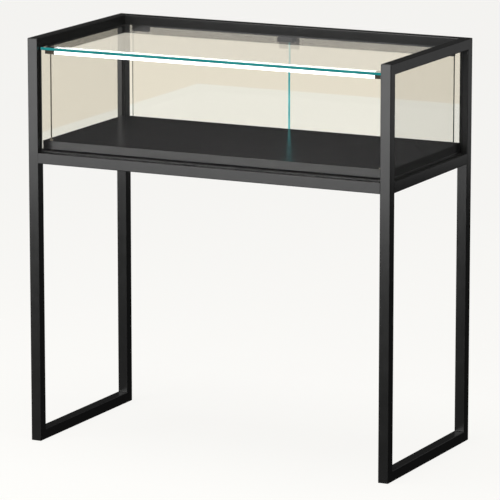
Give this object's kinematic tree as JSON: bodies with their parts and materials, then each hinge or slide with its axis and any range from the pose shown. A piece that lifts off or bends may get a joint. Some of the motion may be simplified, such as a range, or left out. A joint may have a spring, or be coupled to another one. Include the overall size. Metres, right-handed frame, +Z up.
{
  "type": "tabletop display case",
  "caption": "Rectangular glazed display case with a black deck, hinged glass doors at the back and a light bar, carried at table height on a square-tube steel frame with sled legs.",
  "frame": {"origin": "on the floor under the middle of the case", "axes": "+Z up; +Y from the fixed front pane towards the glass doors at the back; +X to the right seen from the front"},
  "size_m": [0.915, 0.455, 0.95],
  "materials": {
    "frame_steel": "fine satin black powder coat",
    "panel_steel": "satin black powder coat",
    "clear_glass": "clear float glass with polished, arrised edges that show green-blue",
    "deck_black": "board covered in smooth black laminate",
    "pad_rubber": "matt",
    "hinge_black": "satin black",
    "bare_steel": "fine ground",
    "black_plastic": "moulded, fine grain",
    "strike_bronze": "brushed, warm grey-brown",
    "block_bronze": "dark bronze lacquer",
    "post_bronze": "dull bronze",
    "opal_diffuser": "opal acrylic, lit white",
    "board_white": "white solder mask",
    "lead_black": "soft black insulation"
  },
  "bodies": {
    "case": {"base_panel": "panel_steel", "display_deck": "deck_black", "front_glass": "clear_glass", "front_mid_rail": "frame_steel", "latch_body": "black_plastic", "left_bottom_pivot_bush": "black_plastic", "left_foot_rail": "frame_steel", "left_front_deck_pad": "pad_rubber", "left_front_leg": "frame_steel", "left_glass": "clear_glass", "left_glass_ledge": "frame_steel", "left_latch_screw": "bare_steel", "left_latch_spring": "bare_steel", "left_light_block": "block_bronze", "left_light_lead": "lead_black", "left_light_post": "post_bronze", "left_mid_rail": "frame_steel", "left_post_collar": "post_bronze", "left_rear_deck_pad": "pad_rubber", "left_rear_leg": "frame_steel", "left_top_pivot_bush": "black_plastic", "left_top_rail": "frame_steel", "light_board": "board_white", "light_diffuser": "opal_diffuser", "light_inlet": "black_plastic", "rear_glass_ledge": "frame_steel", "rear_mid_rail": "frame_steel", "rear_top_rail": "frame_steel", "right_bottom_pivot_bush": "black_plastic", "right_foot_rail": "frame_steel", "right_front_deck_pad": "pad_rubber", "right_front_leg": "frame_steel", "right_glass": "clear_glass", "right_glass_ledge": "frame_steel", "right_latch_screw": "bare_steel", "right_latch_spring": "bare_steel", "right_light_block": "block_bronze", "right_light_lead": "lead_black", "right_light_post": "post_bronze", "right_mid_rail": "frame_steel", "right_post_collar": "post_bronze", "right_rear_deck_pad": "pad_rubber", "right_rear_leg": "frame_steel", "right_top_pivot_bush": "black_plastic", "right_top_rail": "frame_steel", "top_glass": "clear_glass"},
    "left_door": {"left_bottom_hinge_clamp": "hinge_black", "left_bottom_hinge_pin": "bare_steel", "left_door_glass": "clear_glass", "left_strike_plate": "strike_bronze", "left_top_hinge_clamp": "hinge_black", "left_top_hinge_pin": "bare_steel"},
    "right_door": {"right_bottom_hinge_clamp": "hinge_black", "right_bottom_hinge_pin": "bare_steel", "right_door_glass": "clear_glass", "right_strike_plate": "strike_bronze", "right_top_hinge_clamp": "hinge_black", "right_top_hinge_pin": "bare_steel"},
    "left_plunger": {"left_latch_plunger": "black_plastic"},
    "right_plunger": {"right_latch_plunger": "black_plastic"}
  },
  "joints": [
    {"name": "left_door_hinge", "type": "hinge", "parent": "case", "child": "left_door", "pos_m": [-0.4075, 0.211, 0.8042], "axis": [0, 0, 1], "range_deg": [0, 110]},
    {"name": "right_door_hinge", "type": "hinge", "parent": "case", "child": "right_door", "pos_m": [0.4075, 0.211, 0.8042], "axis": [0, 0, -1], "range_deg": [0, 110]},
    {"name": "left_plunger_press", "type": "slide", "parent": "case", "child": "left_plunger", "axis": [0, -1, 0], "range_m": [0, 0.003], "stiffness_N_per_m": 200},
    {"name": "right_plunger_press", "type": "slide", "parent": "case", "child": "right_plunger", "axis": [0, -1, 0], "range_m": [0, 0.003], "stiffness_N_per_m": 200}
  ]
}
